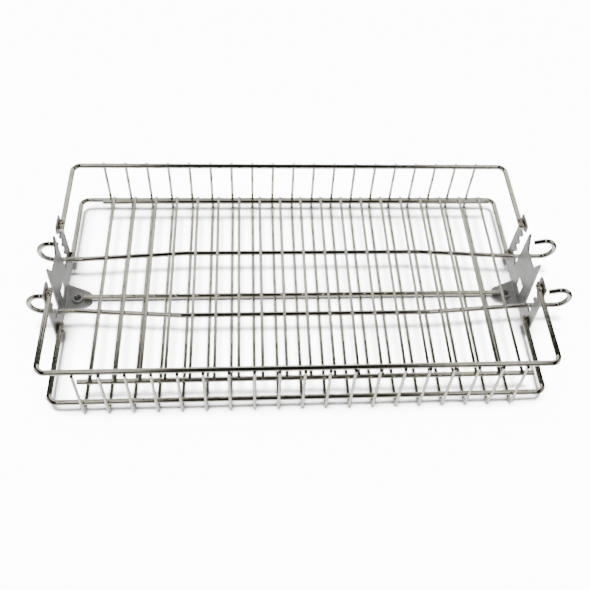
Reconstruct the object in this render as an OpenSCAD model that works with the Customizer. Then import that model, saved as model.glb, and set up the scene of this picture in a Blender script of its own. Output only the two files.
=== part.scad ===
// Flat wire basket for a rotisserie spit: a mesh tray, a mesh lid that clamps down on the
// food, and two notched end plates that the spit rod passes through.
// X runs along the spit rod, Y towards the back, Z up. The origin is on the spit rod's axis,
// midway between the end plates. All sizes are in millimetres.

/* [Mesh] */
// Spacing of the mesh wires along the basket
mesh_pitch = 20; // [16:0.5:24]
// Diameter of the basket's mesh ribs
rib_d = 2.5; // [1.6:0.1:3]
// Diameter of the lid's mesh wires
lid_wire_d = 2.7; // [1.6:0.1:3]
// Diameter of every frame wire: rims, frames, centre wire, lid edges and hook wires
frame_d = 4.6; // [3.6:0.1:4.6]

/* [Basket] */
// Distance between the front and back rim wires, centre to centre
basket_w = 225; // [200:1:260]
// Distance between the left and right runs of the rim, centre to centre
basket_l = 415; // [405:1:430]
// Height of the rim wire's centre above the table
rim_h = 60.5; // [58:0.5:62]
// Height of the lower frame wire's centre above the table
frame_h = 13.5; // [11:0.5:15]
// Centre-line radius of the frame wires' corners
corner_r = 7; // [6:0.5:16]
// Centre-line radius of the rib's lower bends
rib_bend_r = 5; // [3:0.5:9]
// Height of the rib tips above the rim wire's centre
rib_tip = 0; // [0:0.1:2]
// Distance from the rim wire's cut end to the middle of the basket
rim_end_y = 33; // [32:0.5:40]
// Distance from the lower frame wire's cut end to the middle of the basket
frame_end_y = 35; // [30:0.5:42]
// Length of the centre wire under the food
centre_l = 387; // [375:1:398]

/* [End plates] */
// Thickness of the sheet steel
sheet_t = 1.5; // [1:0.1:2]
// Width of an end plate along its bottom edge
plate_w = 93; // [90:1:100]
// Width of an end plate across the top of its two arms
plate_top_w = 89; // [86:1:96]
// Height of the arms' tops above the table
arm_h = 67; // [65:0.5:72]
// Height of the horns' tips above the table
horn_h = 69; // [66:0.5:74]
// Height of the edge between the two horns
saddle_h = 54.5; // [48:0.5:58]
// Side of the square hole for the spit rod
rod_hole = 13.4; // [9.9:0.1:13.6]
// Height of the spit rod's axis above the table
rod_h = 16; // [14:0.5:18]
// Radius of the threaded hole for the clamping screw
screw_r = 3.3; // [2.5:0.1:3.5]
// Distance from the plate's inner face to the screw hole
screw_x = 10.2; // [9:0.1:11]

/* [Lid] */
// Offset of the lid along the basket, out of its end play
lid_shift = 7; // [-7:0.5:7]
// Length of the lid's edge wires
lid_edge_l = 382; // [375:1:384]
// Distance between the lid's two edge wires, centre to centre
lid_edge_w = 200; // [190:1:204]
// Length of the lid's mesh wires
lid_wire_l = 205; // [200:1:210]
// Height of the hook wires above the table in the lowest notches
hook_h = 24; // [24:0.1:25]
// Distance of a hook wire from the middle where it passes through the plates
hook_y = 28.8; // [28.4:0.1:28.8]
// Distance of a hook wire from the middle under the mesh
hook_mid_y = 35; // [32:0.5:38]
// Distance from the lid's middle to the centre of a finger loop
loop_x = 227; // [224:0.5:232]
// Centre-line radius of a finger loop
loop_r = 11; // [10:0.5:12]
// Angle that a finger loop turns through
loop_turn = 194; // [180:1:200]
// Length of the straight tail after each finger loop: right end, left end
loop_tail = [8, 5]; // [3:0.5:9]

/* [Notches] */
// Height from one notch to the next
notch_step = 10.5; // [10.4:0.1:10.5]
// Radius of a notch
notch_r = 2.65; // [2.6:0.05:2.7]
// Distance of the notches' centres from the middle
notch_y = 33.8; // [33.8:0.1:34.5]
// Distance of the teeth's tips from the middle
tooth_y = 31.4; // [31.4:0.1:31.6]

/* [Hidden] */
$fn = 64;
mesh_count = 19;
notch_count = 4;
table_z = -rod_h;
rim_x = basket_l / 2;
rim_y = basket_w / 2;
rib_y = rim_y + frame_d / 2 + rib_d / 2;
plate_x = rim_x + frame_d / 2;
bend_in = 1;
bend_out = bend_in + sheet_t;
flange_low = rib_d - sheet_t;
flange_top = flange_low + sheet_t;
flange_w = 32;
flange_l = 23;
flange_tip_r = 9.5;
collar_r = 5.2;
collar_h = 1.8;
tooth_r = (notch_step - 2 * notch_r) / 2;
head_y = 28;
slot_low = [22, 17.5];
horn_tip_y = 17.9;
horn_tip_r = 1.3;
saddle_y = 9.4;
wire_gap = 0.3;
lid_wire_h = hook_h + frame_d / 2 + wire_gap + lid_wire_d / 2;
lid_edge_h = lid_wire_h - lid_wire_d / 2 - frame_d / 2;
lap = 0.2;
neck_x = 110;
hook_end_x = 202;

function two(i) = str(i < 10 ? "0" : "", i);
RIBS = [for (i = [1:mesh_count]) str("basket_rib_", two(i))];
LID_WIRES = [for (i = [1:mesh_count]) str("lid_wire_", two(i))];

// A straight round wire between two points
module wire(a, b, d) {
    v = b - a;
    translate(a)
        rotate([0, acos(v[2] / norm(v)), atan2(v[1], v[0])])
            cylinder(h = norm(v), d = d);
}

// A quarter bend about Z, from the +X side round to the +Y side
module bend(r, d, turn = 90) {
    rotate_extrude(angle = turn) translate([r, 0]) circle(d = d);
}

// One mesh rib of the basket: two upright sides and a flat run under the food
module basket_rib(i) {
    low = rib_d / 2;
    run = rib_y - rib_bend_r;
    color("gainsboro")
        translate([(i - (mesh_count + 1) / 2) * mesh_pitch, 0, table_z]) {
            wire([0, -run, low], [0, run, low], rib_d);
            for (s = [0, 1]) mirror([0, s, 0]) {
                translate([0, run, low + rib_bend_r])
                    rotate([0, 90, 0]) bend(rib_bend_r, rib_d);
                wire([0, rib_y, low + rib_bend_r], [0, rib_y, rim_h + rib_tip], rib_d);
            }
        }
}

// Half of a rectangular wire frame: one long run, two corners and two side runs
module half_frame(h, end_y, side) {
    color("silver")
        mirror([0, side < 0 ? 1 : 0, 0]) translate([0, 0, table_z + h]) {
            wire([corner_r - rim_x, rim_y, 0], [rim_x - corner_r, rim_y, 0], frame_d);
            for (s = [0, 1]) mirror([s, 0, 0]) {
                translate([rim_x - corner_r, rim_y - corner_r, 0]) bend(corner_r, frame_d);
                wire([rim_x, end_y, 0], [rim_x, rim_y - corner_r, 0], frame_d);
            }
        }
}

// The wire along the middle of the basket, welded to the ribs and to both end plates
module centre_wire() {
    color("silver")
        translate([0, 0, table_z + rib_d + frame_d / 2])
            wire([-centre_l / 2, 0, 0], [centre_l / 2, 0, 0], frame_d);
}

// Outline of an end plate's right-hand half, from the bottom edge up to the saddle
half_outline = [
    [plate_w / 2, flange_low],
    [plate_top_w / 2, arm_h],
    [tooth_y + tooth_r, arm_h],
    [tooth_y + tooth_r, hook_h - notch_r],
    [slot_low[0] + 4.5, hook_h - notch_r],
    slot_low,
    [horn_tip_y + horn_tip_r, horn_h - horn_tip_r],
    [horn_tip_y - horn_tip_r, horn_h - horn_tip_r],
    [saddle_y, saddle_h]
];

// The end plate's face: two notched arms, two horns and the square hole for the rod
module plate_face() {
    last = len(half_outline) - 1;
    difference() {
        union() {
            polygon(concat(
                half_outline,
                [for (i = [last:-1:0]) [-half_outline[i][0], half_outline[i][1]]]));
            for (s = [0, 1]) mirror([s, 0]) {
                // horn tip
                translate([horn_tip_y, horn_h - horn_tip_r]) circle(r = horn_tip_r);
                // teeth between the notches
                for (k = [0:notch_count - 2])
                    translate([tooth_y + tooth_r, hook_h + (k + 0.5) * notch_step])
                        circle(r = tooth_r);
                // blunt head above the top notch
                head_low = hook_h + (notch_count - 1) * notch_step + notch_r;
                for (z = [head_low + tooth_r, arm_h - tooth_r])
                    translate([head_y + tooth_r, z]) circle(r = tooth_r);
                translate([head_y, head_low + tooth_r])
                    square([tooth_y - head_y + tooth_r + 0.5, arm_h - head_low - 2 * tooth_r]);
                translate([head_y + tooth_r, head_low])
                    square([tooth_y - head_y + 0.5, arm_h - head_low]);
            }
        }
        // notches for the hook wires
        for (s = [0, 1], k = [0:notch_count - 1]) mirror([s, 0])
            translate([notch_y, hook_h + k * notch_step]) {
                circle(r = notch_r);
                translate([-3, -notch_r]) square([3, 2 * notch_r]);
            }
        // square hole for the spit rod
        translate([-rod_hole / 2, rod_h - rod_hole / 2]) square(rod_hole);
    }
}

// Point where a straight flange edge meets the rounded tip
function tip_touch(c, w, r) =
    let (a = -atan(w / c) + asin(r / norm([c, w]))) [c - r * sin(a), r * cos(a)];

// The flange folded inwards from the bottom of an end plate
module flange_shape() {
    c = flange_l - flange_tip_r;
    p = tip_touch(c, flange_w / 2, flange_tip_r);
    polygon([[0, -flange_w / 2], [p[0], -p[1]], [c, 0], [p[0], p[1]], [0, flange_w / 2]]);
    translate([c, 0]) circle(r = flange_tip_r);
}

// An end plate with its folded flange and the threaded collar for the clamping screw
module end_plate(side) {
    mid = bend_out - sheet_t;
    color("darkgray")
        mirror([side < 0 ? 1 : 0, 0, 0]) translate([plate_x, 0, table_z])
            difference() {
                union() {
                    difference() {
                        rotate([90, 0, 90]) linear_extrude(sheet_t) plate_face();
                        translate([-1, -flange_w / 2, flange_low - 1])
                            cube([sheet_t + 2, flange_w, bend_out + 1]);
                    }
                    // rounded fold
                    translate([sheet_t - bend_out, flange_w / 2, flange_low + bend_out])
                        rotate([90, 0, 0]) linear_extrude(flange_w) difference() {
                            intersection() {
                                circle(r = bend_out);
                                translate([0, -bend_out]) square(bend_out);
                            }
                            circle(r = bend_in);
                        }
                    translate([-mid, 0, flange_low]) mirror([1, 0, 0])
                        linear_extrude(sheet_t) flange_shape();
                    translate([-screw_x, 0, flange_low])
                        cylinder(h = sheet_t + collar_h, r = collar_r);
                }
                translate([-screw_x, 0, flange_low - 1])
                    cylinder(h = sheet_t + collar_h + 2, r = screw_r);
            }
}

// One mesh wire of the lid
module lid_wire(i) {
    color("gainsboro")
        translate([lid_shift + (i - (mesh_count + 1) / 2) * mesh_pitch, 0,
                   table_z + lid_wire_h])
            wire([0, -lid_wire_l / 2, 0], [0, lid_wire_l / 2, 0], lid_wire_d);
}

// One of the lid's two outer wires
module lid_edge_wire(side) {
    color("silver")
        translate([lid_shift, side * lid_edge_w / 2, table_z + lid_edge_h])
            wire([-lid_edge_l / 2, 0, 0], [lid_edge_l / 2, 0, 0], frame_d);
}

// One hook wire: it runs under the lid's mesh, narrows towards the end plates, passes
// through their slots and ends in a finger loop at each end. The narrowing stretch is a hair
// thinner, and so is each loop's tail, so that their ends sit wholly inside the wire that
// they join.
module hook_wire(side) {
    a = [neck_x, hook_mid_y, 0];
    b = [hook_end_x, hook_y, 0];
    u = lap * (b - a) / norm(b - a);
    color("silver")
        mirror([0, side < 0 ? 1 : 0, 0]) translate([lid_shift, 0, table_z + hook_h]) {
            wire([-neck_x, hook_mid_y, 0], a, frame_d);
            for (s = [0, 1]) mirror([s, 0, 0]) {
                wire(a - u, b + u, frame_d - 0.1);
                wire(b, [loop_x, hook_y, 0], frame_d);
                translate([loop_x, hook_y, loop_r]) rotate([90, 0, 0]) rotate(-90) {
                    bend(loop_r, frame_d, loop_turn);
                    rotate(loop_turn)
                        wire([loop_r, -lap, 0], [loop_r, loop_tail[s], 0], frame_d - 0.1);
                }
            }
        }
}

for (i = [1:mesh_count]) {
    basket_rib(i);
    lid_wire(i);
}
half_frame(rim_h, rim_end_y, -1);  // rim_wire_front
half_frame(rim_h, rim_end_y, 1);  // rim_wire_back
half_frame(frame_h, frame_end_y, -1);  // frame_wire_front
half_frame(frame_h, frame_end_y, 1);  // frame_wire_back
centre_wire();
end_plate(-1);  // end_plate_left
end_plate(1);  // end_plate_right
lid_edge_wire(-1);  // lid_edge_wire_front
lid_edge_wire(1);  // lid_edge_wire_back
hook_wire(-1);  // hook_wire_front
hook_wire(1);  // hook_wire_back
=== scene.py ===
import math
import random

import bmesh
import bpy
from mathutils import Matrix, Vector, noise


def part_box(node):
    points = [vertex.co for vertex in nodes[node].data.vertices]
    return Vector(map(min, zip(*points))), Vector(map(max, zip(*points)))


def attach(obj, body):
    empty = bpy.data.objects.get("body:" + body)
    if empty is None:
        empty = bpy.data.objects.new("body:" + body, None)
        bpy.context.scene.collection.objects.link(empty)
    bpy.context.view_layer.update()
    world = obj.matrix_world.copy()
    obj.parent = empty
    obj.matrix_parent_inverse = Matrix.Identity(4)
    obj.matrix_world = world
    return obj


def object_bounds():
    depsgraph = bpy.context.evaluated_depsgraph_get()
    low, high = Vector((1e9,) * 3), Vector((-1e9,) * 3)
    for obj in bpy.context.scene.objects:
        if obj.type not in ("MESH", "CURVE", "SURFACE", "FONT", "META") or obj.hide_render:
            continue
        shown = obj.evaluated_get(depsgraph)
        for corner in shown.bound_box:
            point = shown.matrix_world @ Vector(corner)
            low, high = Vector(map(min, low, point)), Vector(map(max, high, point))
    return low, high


# A flat wire rotisserie basket: a welded wire tray, two notched end plates and a mesh lid
# on two hook wires. Everything is in metres, and the basket's spit axis runs along X at z = 0.
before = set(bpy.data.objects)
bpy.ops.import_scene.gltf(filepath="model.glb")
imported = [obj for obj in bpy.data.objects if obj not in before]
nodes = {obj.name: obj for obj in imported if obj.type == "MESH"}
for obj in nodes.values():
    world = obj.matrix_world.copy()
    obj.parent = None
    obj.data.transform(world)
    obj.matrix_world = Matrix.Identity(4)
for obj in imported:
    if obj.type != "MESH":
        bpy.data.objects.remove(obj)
CAD_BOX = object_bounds()
scene = bpy.context.scene

MM = 0.001
RIBS = sorted(n for n in nodes if n.startswith("basket_rib"))
LID_WIRES = sorted(n for n in nodes if n.startswith("lid_wire"))


def middle(node):
    lo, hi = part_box(node)
    return (Vector(lo) + Vector(hi)) / 2


def half(node):
    lo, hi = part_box(node)
    return (Vector(hi) - Vector(lo)) / 2


TABLE = CAD_BOX[0][2]
RIM = middle("rim_wire_back").z
FRAME = middle("frame_wire_back").z
WIRE_R = half("centre_wire").z
RIM_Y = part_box("rim_wire_back")[1][1] - WIRE_R
RIM_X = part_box("rim_wire_back")[1][0] - WIRE_R

# Where the rim wire and the frame wire end on the plates, measured along Y
RIM_END = 33 * MM
FRAME_END = 35 * MM

# The clamping screws' distance from the middle of the basket
SCREW_X = 199.6 * MM


# ------------------------------------------------------------------ node helpers
class Tree:
    """A node tree with short calls for the few nodes that the materials and the world use."""

    def __init__(self, name, world=False):
        if world:
            self.data = bpy.data.worlds.new(name)
            output, shader = "ShaderNodeOutputWorld", "ShaderNodeBackground"
        else:
            self.data = bpy.data.materials.new(name)
            output, shader = "ShaderNodeOutputMaterial", "ShaderNodeBsdfPrincipled"
        self.data.use_nodes = True
        self.t = self.data.node_tree
        self.t.nodes.clear()
        self.shader = self.t.nodes.new(shader)
        self.t.links.new(self.shader.outputs[0], self.t.nodes.new(output).inputs[0])
        self.coord = self.t.nodes.new("ShaderNodeTexCoord")

    def put(self, value, socket):
        if isinstance(value, bpy.types.NodeSocket):
            self.t.links.new(value, socket)
        elif isinstance(value, tuple) and len(value) == 3 and socket.type == "RGBA":
            socket.default_value = (*value, 1)
        else:
            socket.default_value = value

    def set(self, **values):
        for name, value in values.items():
            self.put(value, self.shader.inputs[name.replace("_", " ")])

    def math(self, op, a, b=0.0):
        n = self.t.nodes.new("ShaderNodeMath")
        n.operation = op
        self.put(a, n.inputs[0])
        self.put(b, n.inputs[1])
        return n.outputs[0]

    def times(self, a, b):
        return self.math("MULTIPLY", a, b)

    def step(self, value, low, high, to=(0.0, 1.0)):
        """A smooth step from to[0] at the low value to to[1] at the high one."""
        n = self.t.nodes.new("ShaderNodeMapRange")
        n.interpolation_type = "SMOOTHSTEP"
        self.put(value, n.inputs["Value"])
        for k, v in zip(("From Min", "From Max", "To Min", "To Max"), (low, high, *to)):
            n.inputs[k].default_value = v
        return n.outputs[0]

    def band(self, value, rise, fall):
        """1 between the rise and the fall, each a pair of values with a smooth step between."""
        return self.times(self.step(value, *rise), self.step(value, *fall, (1.0, 0.0)))

    def xyz(self, vector):
        n = self.t.nodes.new("ShaderNodeSeparateXYZ")
        self.put(vector, n.inputs[0])
        return n.outputs

    def noise(self, scale, detail=2.0, rough=0.5, stretch=(1, 1, 1), warp=0.0):
        m = self.t.nodes.new("ShaderNodeMapping")
        m.inputs["Scale"].default_value = stretch
        self.put(self.coord.outputs["Object"], m.inputs[0])
        n = self.t.nodes.new("ShaderNodeTexNoise")
        n.inputs["Scale"].default_value = scale
        n.inputs["Detail"].default_value = detail
        n.inputs["Roughness"].default_value = rough
        n.inputs["Distortion"].default_value = warp
        self.t.links.new(m.outputs[0], n.inputs["Vector"])
        return n.outputs[0]

    def mix(self, fac, a, b):
        n = self.t.nodes.new("ShaderNodeMix")
        n.data_type = "RGBA"
        self.put(fac, n.inputs[0])
        self.put(a, n.inputs[6])
        self.put(b, n.inputs[7])
        return n.outputs[2]

    def bump(self, height, strength, distance, normal=None):
        n = self.t.nodes.new("ShaderNodeBump")
        n.inputs["Strength"].default_value = strength
        n.inputs["Distance"].default_value = distance
        self.put(height, n.inputs["Height"])
        if normal is not None:
            self.put(normal, n.inputs["Normal"])
        self.put(n.outputs[0], self.shader.inputs["Normal"])

    def near(self, points, inner, outer):
        """1 close to any of the points, falling to 0 at the outer distance."""
        best = None
        for p in points:
            n = self.t.nodes.new("ShaderNodeVectorMath")
            n.operation = "DISTANCE"
            self.put(self.coord.outputs["Object"], n.inputs[0])
            n.inputs[1].default_value = p
            d = n.outputs["Value"]
            best = d if best is None else self.math("MINIMUM", best, d)
        return self.step(best, inner, outer, (1.0, 0.0))


# ------------------------------------------------------------------ materials
GRIME = (0.20, 0.17, 0.12)
# Near-black painted shade and dark reflection for the wires' ends
SHADED_END = (0.045, 0.04, 0.035)
STAIN = (0.16, 0.15, 0.13)
HEAT_MARK = (0.075, 0.062, 0.045)
BARE_FLECK = (0.80, 0.77, 0.68)


def plated_wire(name, bright, dull, rough, end_shade=None):
    """Drawn steel wire under bright nickel. The optional mask function gives 1 at the wire's
    ends, which are painted near-black as shade and dark reflection.
    """
    m = Tree(name)
    tone = m.step(m.noise(45, 3, 0.6), 0.35, 0.68)
    grime = m.step(m.noise(120, 1, 0.4), 0.60, 0.76)
    colour = m.mix(tone, dull, bright)
    colour = m.mix(m.times(grime, 0.12), colour, GRIME)
    roughness = m.step(m.noise(300, 2), 0.3, 0.7, (rough, rough + 0.05))
    # The wire's ends are painted near-black as shade and dark reflection, and made rougher
    if end_shade:
        end = end_shade(m)
        colour = m.mix(end, colour, SHADED_END)
        roughness = m.math("ADD", roughness, m.times(end, 0.35))
    m.set(Base_Color=colour, Metallic=1.0, Roughness=roughness)
    m.bump(m.noise(110, 1, 0.4), 0.03, 0.0002)
    return m.data


def end_face(m, distance, reach):
    """1 on the last tenth of a millimetre of a wire that ends at this reach."""
    return m.step(distance, reach - 0.25 * MM, reach - 0.1 * MM)


def rib_ends(m):
    z = m.xyz(m.coord.outputs["Object"])[2]
    return end_face(m, z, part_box(RIBS[0])[1][2])


def lid_wire_ends(m):
    y = m.xyz(m.coord.outputs["Object"])[1]
    return end_face(m, m.math("ABSOLUTE", y), half(LID_WIRES[0]).y)


RIB_MAT = plated_wire(
    "nickel_rib", (0.81, 0.80, 0.715), (0.68, 0.67, 0.58), 0.10, rib_ends)
LID_MAT = plated_wire(
    "nickel_lid_wire", (0.82, 0.81, 0.725), (0.70, 0.69, 0.60), 0.10, lid_wire_ends)
ROD_MAT = plated_wire(
    "nickel_rod", (0.77, 0.755, 0.665), (0.65, 0.635, 0.54), 0.08)
HOOK_MAT = plated_wire(
    "nickel_hook", (0.80, 0.775, 0.71), (0.66, 0.64, 0.57), 0.06)

# The welds' middles: a little way in from the wires' ends, and a little above the wires
WELDS = [Vector((sx * RIM_X, sy * (end + 3 * MM), height))
         for sx in (-1, 1) for sy in (-1, 1)
         for end, height in ((RIM_END, RIM + 1.0 * MM), (FRAME_END, FRAME + 0.5 * MM))]


def sheet_metal():
    """Satin plated sheet: faint rolling grain, softened edges, heat marks by the welds."""
    m = Tree("satin_sheet")
    grain = m.noise(260, 3, 0.6, (1, 0.15, 1))
    cloud = m.step(m.noise(38, 3, 0.55), 0.3, 0.7)
    colour = m.mix(cloud, (0.58, 0.590, 0.602), (0.66, 0.670, 0.682))
    stain = m.step(m.noise(420, 3, 0.6), 0.66, 0.78)
    colour = m.mix(m.times(stain, 0.35), colour, STAIN)
    heat = m.near(WELDS, 2.5 * MM, 7.5 * MM)
    heat = m.times(heat, m.step(m.noise(300, 3), 0.3, 0.6, (0.45, 1.0)))
    colour = m.mix(m.times(heat, 0.8), colour, HEAT_MARK)
    m.set(Base_Color=colour, Metallic=1.0, Roughness=m.step(grain, 0.3, 0.7, (0.36, 0.46)))
    edge = m.t.nodes.new("ShaderNodeBevel")
    edge.samples = 4
    edge.inputs["Radius"].default_value = 0.35 * MM
    m.bump(grain, 0.06, 0.0003, edge.outputs[0])
    return m.data


def weld_metal(name, dark, light, scale):
    """Patchy scale over weld metal, with a few bare bright flecks."""
    m = Tree(name)
    patch = m.step(m.noise(scale, 3, 0.6, warp=0.6), 0.44, 0.60)
    fleck = m.step(m.noise(scale * 2.3, 2, 0.5), 0.60, 0.68)
    colour = m.mix(patch, dark, light)
    colour = m.mix(fleck, colour, BARE_FLECK)
    m.set(Base_Color=colour, Metallic=0.85, Roughness=m.step(patch, 0, 1, (0.42, 0.22)))
    m.bump(m.noise(scale * 1.6, 3, 0.6), 0.5, 0.0006)
    return m.data


def shaded_thread():
    """Thread painted near-black, standing in for the shade deep in the screw hole, with a faint
    mottle.
    """
    m = Tree("shaded_thread")
    mottle = m.step(m.noise(600, 2), 0.35, 0.65)
    m.set(Base_Color=m.mix(mottle, (0.010, 0.009, 0.008), (0.030, 0.028, 0.025)),
          Metallic=0.5, Roughness=m.step(mottle, 0, 1, (0.45, 0.65)))
    m.bump(m.noise(900, 2), 0.2, 0.0002)
    return m.data


SHEET_MAT = sheet_metal()
BURNT = weld_metal("burnt_weld", (0.018, 0.014, 0.010), (0.22, 0.19, 0.13), 420)
SPOT = weld_metal("spot_weld", (0.05, 0.043, 0.032), (0.34, 0.31, 0.24), 500)
THREAD_SHADE = shaded_thread()

for name, obj in nodes.items():
    mat = (SHEET_MAT if name.startswith("end_plate") else
           RIB_MAT if name in RIBS else
           LID_MAT if name in LID_WIRES else
           HOOK_MAT if name.startswith("hook") else ROD_MAT)
    obj.data.materials.clear()
    obj.data.materials.append(mat)


# ------------------------------------------------------------------ added pieces
def build(name, bm, material):
    """A smooth-shaded object in the scene from the faces in bm."""
    mesh = bpy.data.meshes.new(name)
    bm.to_mesh(mesh)
    bm.free()
    for p in mesh.polygons:
        p.use_smooth = True
    mesh.materials.append(material)
    obj = bpy.data.objects.new(name, mesh)
    scene.collection.objects.link(obj)
    return obj


def piece(name, bm, material, body):
    obj = build(name, bm, material)
    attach(obj, body)


def bridge(bm, rows, closed):
    """Faces between each row of points and the next."""
    for a, b in zip(rows, rows[1:]):
        for i in range(len(a) if closed else len(a) - 1):
            j = (i + 1) % len(a)
            bm.faces.new((a[i], a[j], b[j], b[i]))


def lump(bm, centre, size, rough, rnd, detail=2):
    """A solidified drop of weld metal: a ball with uneven sides."""
    made = bmesh.ops.create_icosphere(bm, subdivisions=detail, radius=1.0)["verts"]
    seed = Vector([rnd.uniform(0, 50) for _ in range(3)])
    for v in made:
        k = 1 + rough * noise.noise(v.co * 1.7 + seed)
        v.co = Vector(centre) + Vector([c * k * s for c, s in zip(v.co, size)])


rnd = random.Random(7)

# Spot welds of the basket: rib to rim, rib to frame wire and rib to centre wire
bm = bmesh.new()
for n in RIBS:
    x = middle(n).x
    for s in (-1, 1):
        y = s * (RIM_Y + WIRE_R)
        for z in (RIM, FRAME):
            for side in (-1, 1):
                lump(bm, (x + side * rnd.uniform(0.7, 1.0) * MM, y - s * 0.1 * MM,
                          z + rnd.uniform(-0.5, 0.5) * MM),
                     [rnd.uniform(0.55, 0.8) * MM for _ in range(3)], 0.5, rnd, 1)
    for side in (-1, 1):
        lump(bm, (x + side * 0.9 * MM, rnd.uniform(-0.5, 0.5) * MM, TABLE + 2.0 * MM),
             (0.8 * MM, 1.0 * MM, 0.5 * MM), 0.5, rnd, 1)
piece("basket_spot_welds", bm, SPOT, "basket")

# Spot welds of the lid: mesh wire to edge wire
bm = bmesh.new()
edge_r = half("lid_edge_wire_back").z
for n in LID_WIRES:
    x = middle(n).x
    for e in ("lid_edge_wire_back", "lid_edge_wire_front"):
        c = middle(e)
        for side in (-1, 1):
            lump(bm, (x + side * rnd.uniform(0.8, 1.1) * MM, c.y + rnd.uniform(-0.3, 0.3) * MM,
                      c.z + edge_r - 0.1 * MM),
                 (0.75 * MM, 0.85 * MM, 0.5 * MM), 0.5, rnd, 1)
piece("lid_spot_welds", bm, SPOT, "lid")

# Run-out welds that hold the rim and frame wires' ends against the end plates: a row of
# drops along each wire's end, a little lower on the frame wire
DROPS = 9
MIDDLE_DROP = 3.2
DROP_STEP = 0.95 * MM
FRAME_DROP = 0.6 * MM
bm = bmesh.new()
for weld in WELDS:
    sx = math.copysign(1, weld.x)
    sy = math.copysign(1, weld.y)
    lower = FRAME_DROP if weld.z < 0 else 0.0
    for k in range(DROPS):
        along = (k - MIDDLE_DROP) * DROP_STEP
        r = rnd.uniform(1.1, 1.9) * MM
        lump(bm, (weld.x - sx * rnd.uniform(-0.9, 1.3) * MM, weld.y + sy * along,
                  weld.z + rnd.uniform(0.4, 1.9) * MM - lower),
             (r * 0.85, r, r * 0.8), 0.75, rnd, 3)
piece("plate_welds", bm, BURNT, "basket")

# Screw threads inside the two clamping-screw collars: a ridge that climbs round the hole
# from a little above the table. The root's radius, the depth and the pitch are in
# millimetres. Each point of the ridge's profile is a share of the depth and a height in
# millimetres.
ROOT_R = 3.32
THREAD_DEPTH = 0.42
THREAD_PITCH = 1.0
THREAD_START = TABLE + 1.5 * MM
RIDGE = ((0, -0.45), (1, -0.06), (1, 0.06), (0, 0.45))
STEPS_PER_TURN = 28
THREAD_STEPS = 64
bm = bmesh.new()
for sx in (-1, 1):
    c = Vector((sx * SCREW_X, 0, THREAD_START))
    rows = []
    for k in range(THREAD_STEPS + 1):
        a = 2 * math.pi * k / STEPS_PER_TURN
        out = Vector((math.cos(a), math.sin(a), 0))
        p = c + Vector((0, 0, THREAD_PITCH * MM * k / STEPS_PER_TURN))
        rows.append([bm.verts.new(p + out * (ROOT_R - THREAD_DEPTH * share) * MM
                                  + Vector((0, 0, height * MM)))
                     for share, height in RIDGE])
    bridge(bm, rows, closed=False)
# The thread is painted near-black as the shade inside the hole
piece("screw_threads", bm, THREAD_SHADE, "basket")

# ------------------------------------------------------------------ studio
# White paper with painted shadow close under the wires, from an occlusion mask, and painted
# black shade where it shows through the screw holes
PAPER = (0.96, 0.96, 0.96)
SHADED_PAPER = (0.30, 0.30, 0.31)
HOLE_SHADOW = (0.004, 0.004, 0.004)
TABLE_HALF = 6
m = Tree("white_paper")
near = m.t.nodes.new("ShaderNodeAmbientOcclusion")
near.samples = 12
near.inputs["Distance"].default_value = 40 * MM
# Painted shadow: the paper darkens where the occlusion mask finds wires close above
colour = m.mix(m.step(near.outputs["AO"], 0.42, 0.90), SHADED_PAPER, PAPER)
# Painted shadow: the paper is painted black under the two screw holes
hole_shadow_mask = m.near([(sx * SCREW_X, 0, 0) for sx in (-1, 1)], 3.2 * MM, 5.0 * MM)
m.set(Base_Color=m.mix(hole_shadow_mask, colour, HOLE_SHADOW), Roughness=0.9)

bm = bmesh.new()
bmesh.ops.create_grid(bm, x_segments=1, y_segments=1, size=TABLE_HALF)
table = build("table", bm, m.data)
table.location.z = TABLE
table.visible_glossy = False

# A pale wall round the table, far off, so that low views have no dark horizon. Its foot
# curves up from just above the paper, and its top leans inwards. The profile's points are
# a radius and a height.
FOOT = TABLE + 1.0 * MM
CURVE_START = 3.0
CURVE_R = 1.0
CURVE_STEPS = 8
WALL_SIDES = 96
profile = [(2.6, FOOT)]
for k in range(CURVE_STEPS + 1):
    a = math.pi / 2 * k / CURVE_STEPS
    profile.append((CURVE_START + CURVE_R * math.sin(a), FOOT + CURVE_R * (1 - math.cos(a))))
profile += [(4.0, 5.0), (3.0, 6.0)]
turns = [2 * math.pi * k / WALL_SIDES for k in range(WALL_SIDES)]
bm = bmesh.new()
rows = [[bm.verts.new((r * math.cos(a), r * math.sin(a), height)) for a in turns]
        for r, height in profile]
bridge(bm, rows, closed=True)
m = Tree("lit_paper")
m.set(Base_Color=(0.9, 0.9, 0.9), Roughness=0.9,
      Emission_Color=(1.0, 1.0, 1.0), Emission_Strength=12.5)
backdrop = build("backdrop", bm, m.data)
backdrop.visible_diffuse = False
backdrop.visible_glossy = False
backdrop.visible_transmission = False
backdrop.visible_shadow = False

# What the metal mirrors, by direction. Above the horizon: a bright wall behind the table,
# whose upper edge dips a little in the middle, two long soft boxes overhead to the left and
# right, dimmer light from the sides, and dark in between.
w = Tree("studio", world=True)
x, y, z = w.xyz(w.coord.outputs["Generated"])
aside = w.math("ABSOLUTE", x)
bow = w.times(w.math("MINIMUM", w.times(x, x), 0.10), 0.28)
wall = w.times(w.step(w.math("ADD", y, bow), 0.550, 0.585),
               w.step(aside, 0.70, 0.90, (1.0, 0.0)))
left_box = w.band(x, (-0.265, -0.235), (-0.175, -0.10))
right_box = w.band(x, (0.19, 0.29), (0.345, 0.37))
length = w.band(y, (-0.86, -0.66), (0.41, 0.45))
boxes = w.times(w.math("MAXIMUM", left_box, right_box), length)
room = w.times(w.step(aside, 0.64, 0.86), w.step(y, 0.12, 0.34, (1.0, 0.0)))
glow = w.math("MAXIMUM", w.math("MAXIMUM", wall, w.times(boxes, 0.95)),
              w.times(room, 0.60))
sky = w.mix(glow, (0.010, 0.0095, 0.0085), (1.02, 1.01, 0.95))

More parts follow.
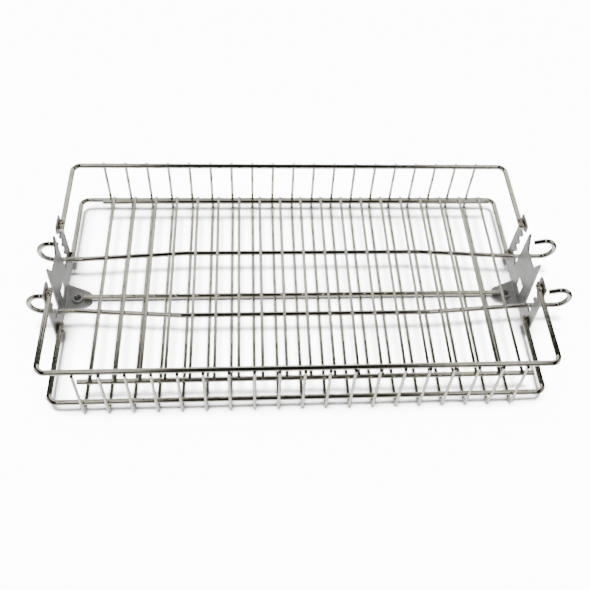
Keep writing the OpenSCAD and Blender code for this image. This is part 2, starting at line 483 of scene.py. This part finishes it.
# Below the horizon: the paper, brightest straight down and towards the front, with a dark
# band towards the back, and dull to the right
back_band = w.band(y, (0.30, 0.42), (0.53, 0.58))
shallow = w.math("SUBTRACT", 0.60, w.times(back_band, 0.56))
down = w.step(z, -0.80, -0.40, (1.0, 0.0))
under = w.step(y, -0.10, 0.30, (1.75, 1.15))
steep = w.math("ADD", shallow, w.times(down, w.math("SUBTRACT", under, shallow)))
shade = w.times(steep, w.step(x, 0.15, 0.75, (1.0, 0.12)))
paper = w.mix(shade, (0.0, 0.0, 0.0), (1.0, 0.985, 0.95))
paper.node.clamp_factor = False

w.put(w.mix(w.step(z, -0.06, 0.02), paper, sky), w.shader.inputs["Color"])
w.shader.inputs["Strength"].default_value = 1.0
scene.world = w.data


def sun(name, energy, angle, turn=(0.0, 0.0, 0.0)):
    """A sun lamp that the metal doesn't mirror, its angle and turn in degrees."""
    lamp = bpy.data.objects.new(name, bpy.data.lights.new(name, "SUN"))
    lamp.data.energy = energy
    lamp.data.angle = math.radians(angle)
    lamp.rotation_euler = [math.radians(a) for a in turn]
    lamp.visible_glossy = False
    scene.collection.objects.link(lamp)


sun("key", 42, 16, (3, -3, 0))
sun("fill", 2.5, 130)

# ------------------------------------------------------------------ camera
# It looks down on the basket from above the front. The angles are in radians.
CAMERA_PLACE = (-0.04244, -0.43082, 0.57557)
yaw, pitch, roll = 0.1450, 0.9067, 0.1055
aim = Vector((math.sin(yaw) * math.cos(pitch), math.cos(yaw) * math.cos(pitch),
              -math.sin(pitch)))
right = Vector((math.cos(yaw), -math.sin(yaw), 0))
up = right.cross(aim)
right, up = (math.cos(roll) * right + math.sin(roll) * up,
             math.cos(roll) * up - math.sin(roll) * right)
cam = bpy.data.objects.new("camera", bpy.data.cameras.new("camera"))
cam.matrix_world = (Matrix.Translation(CAMERA_PLACE)
                    @ Matrix((right, up, -aim)).transposed().to_4x4())
cam.data.sensor_width = 36
cam.data.lens = 47.70
cam.data.shift_x = -0.0433
cam.data.shift_y = -0.0347
cam.data.clip_start = 0.01
scene.collection.objects.link(cam)
scene.camera = cam
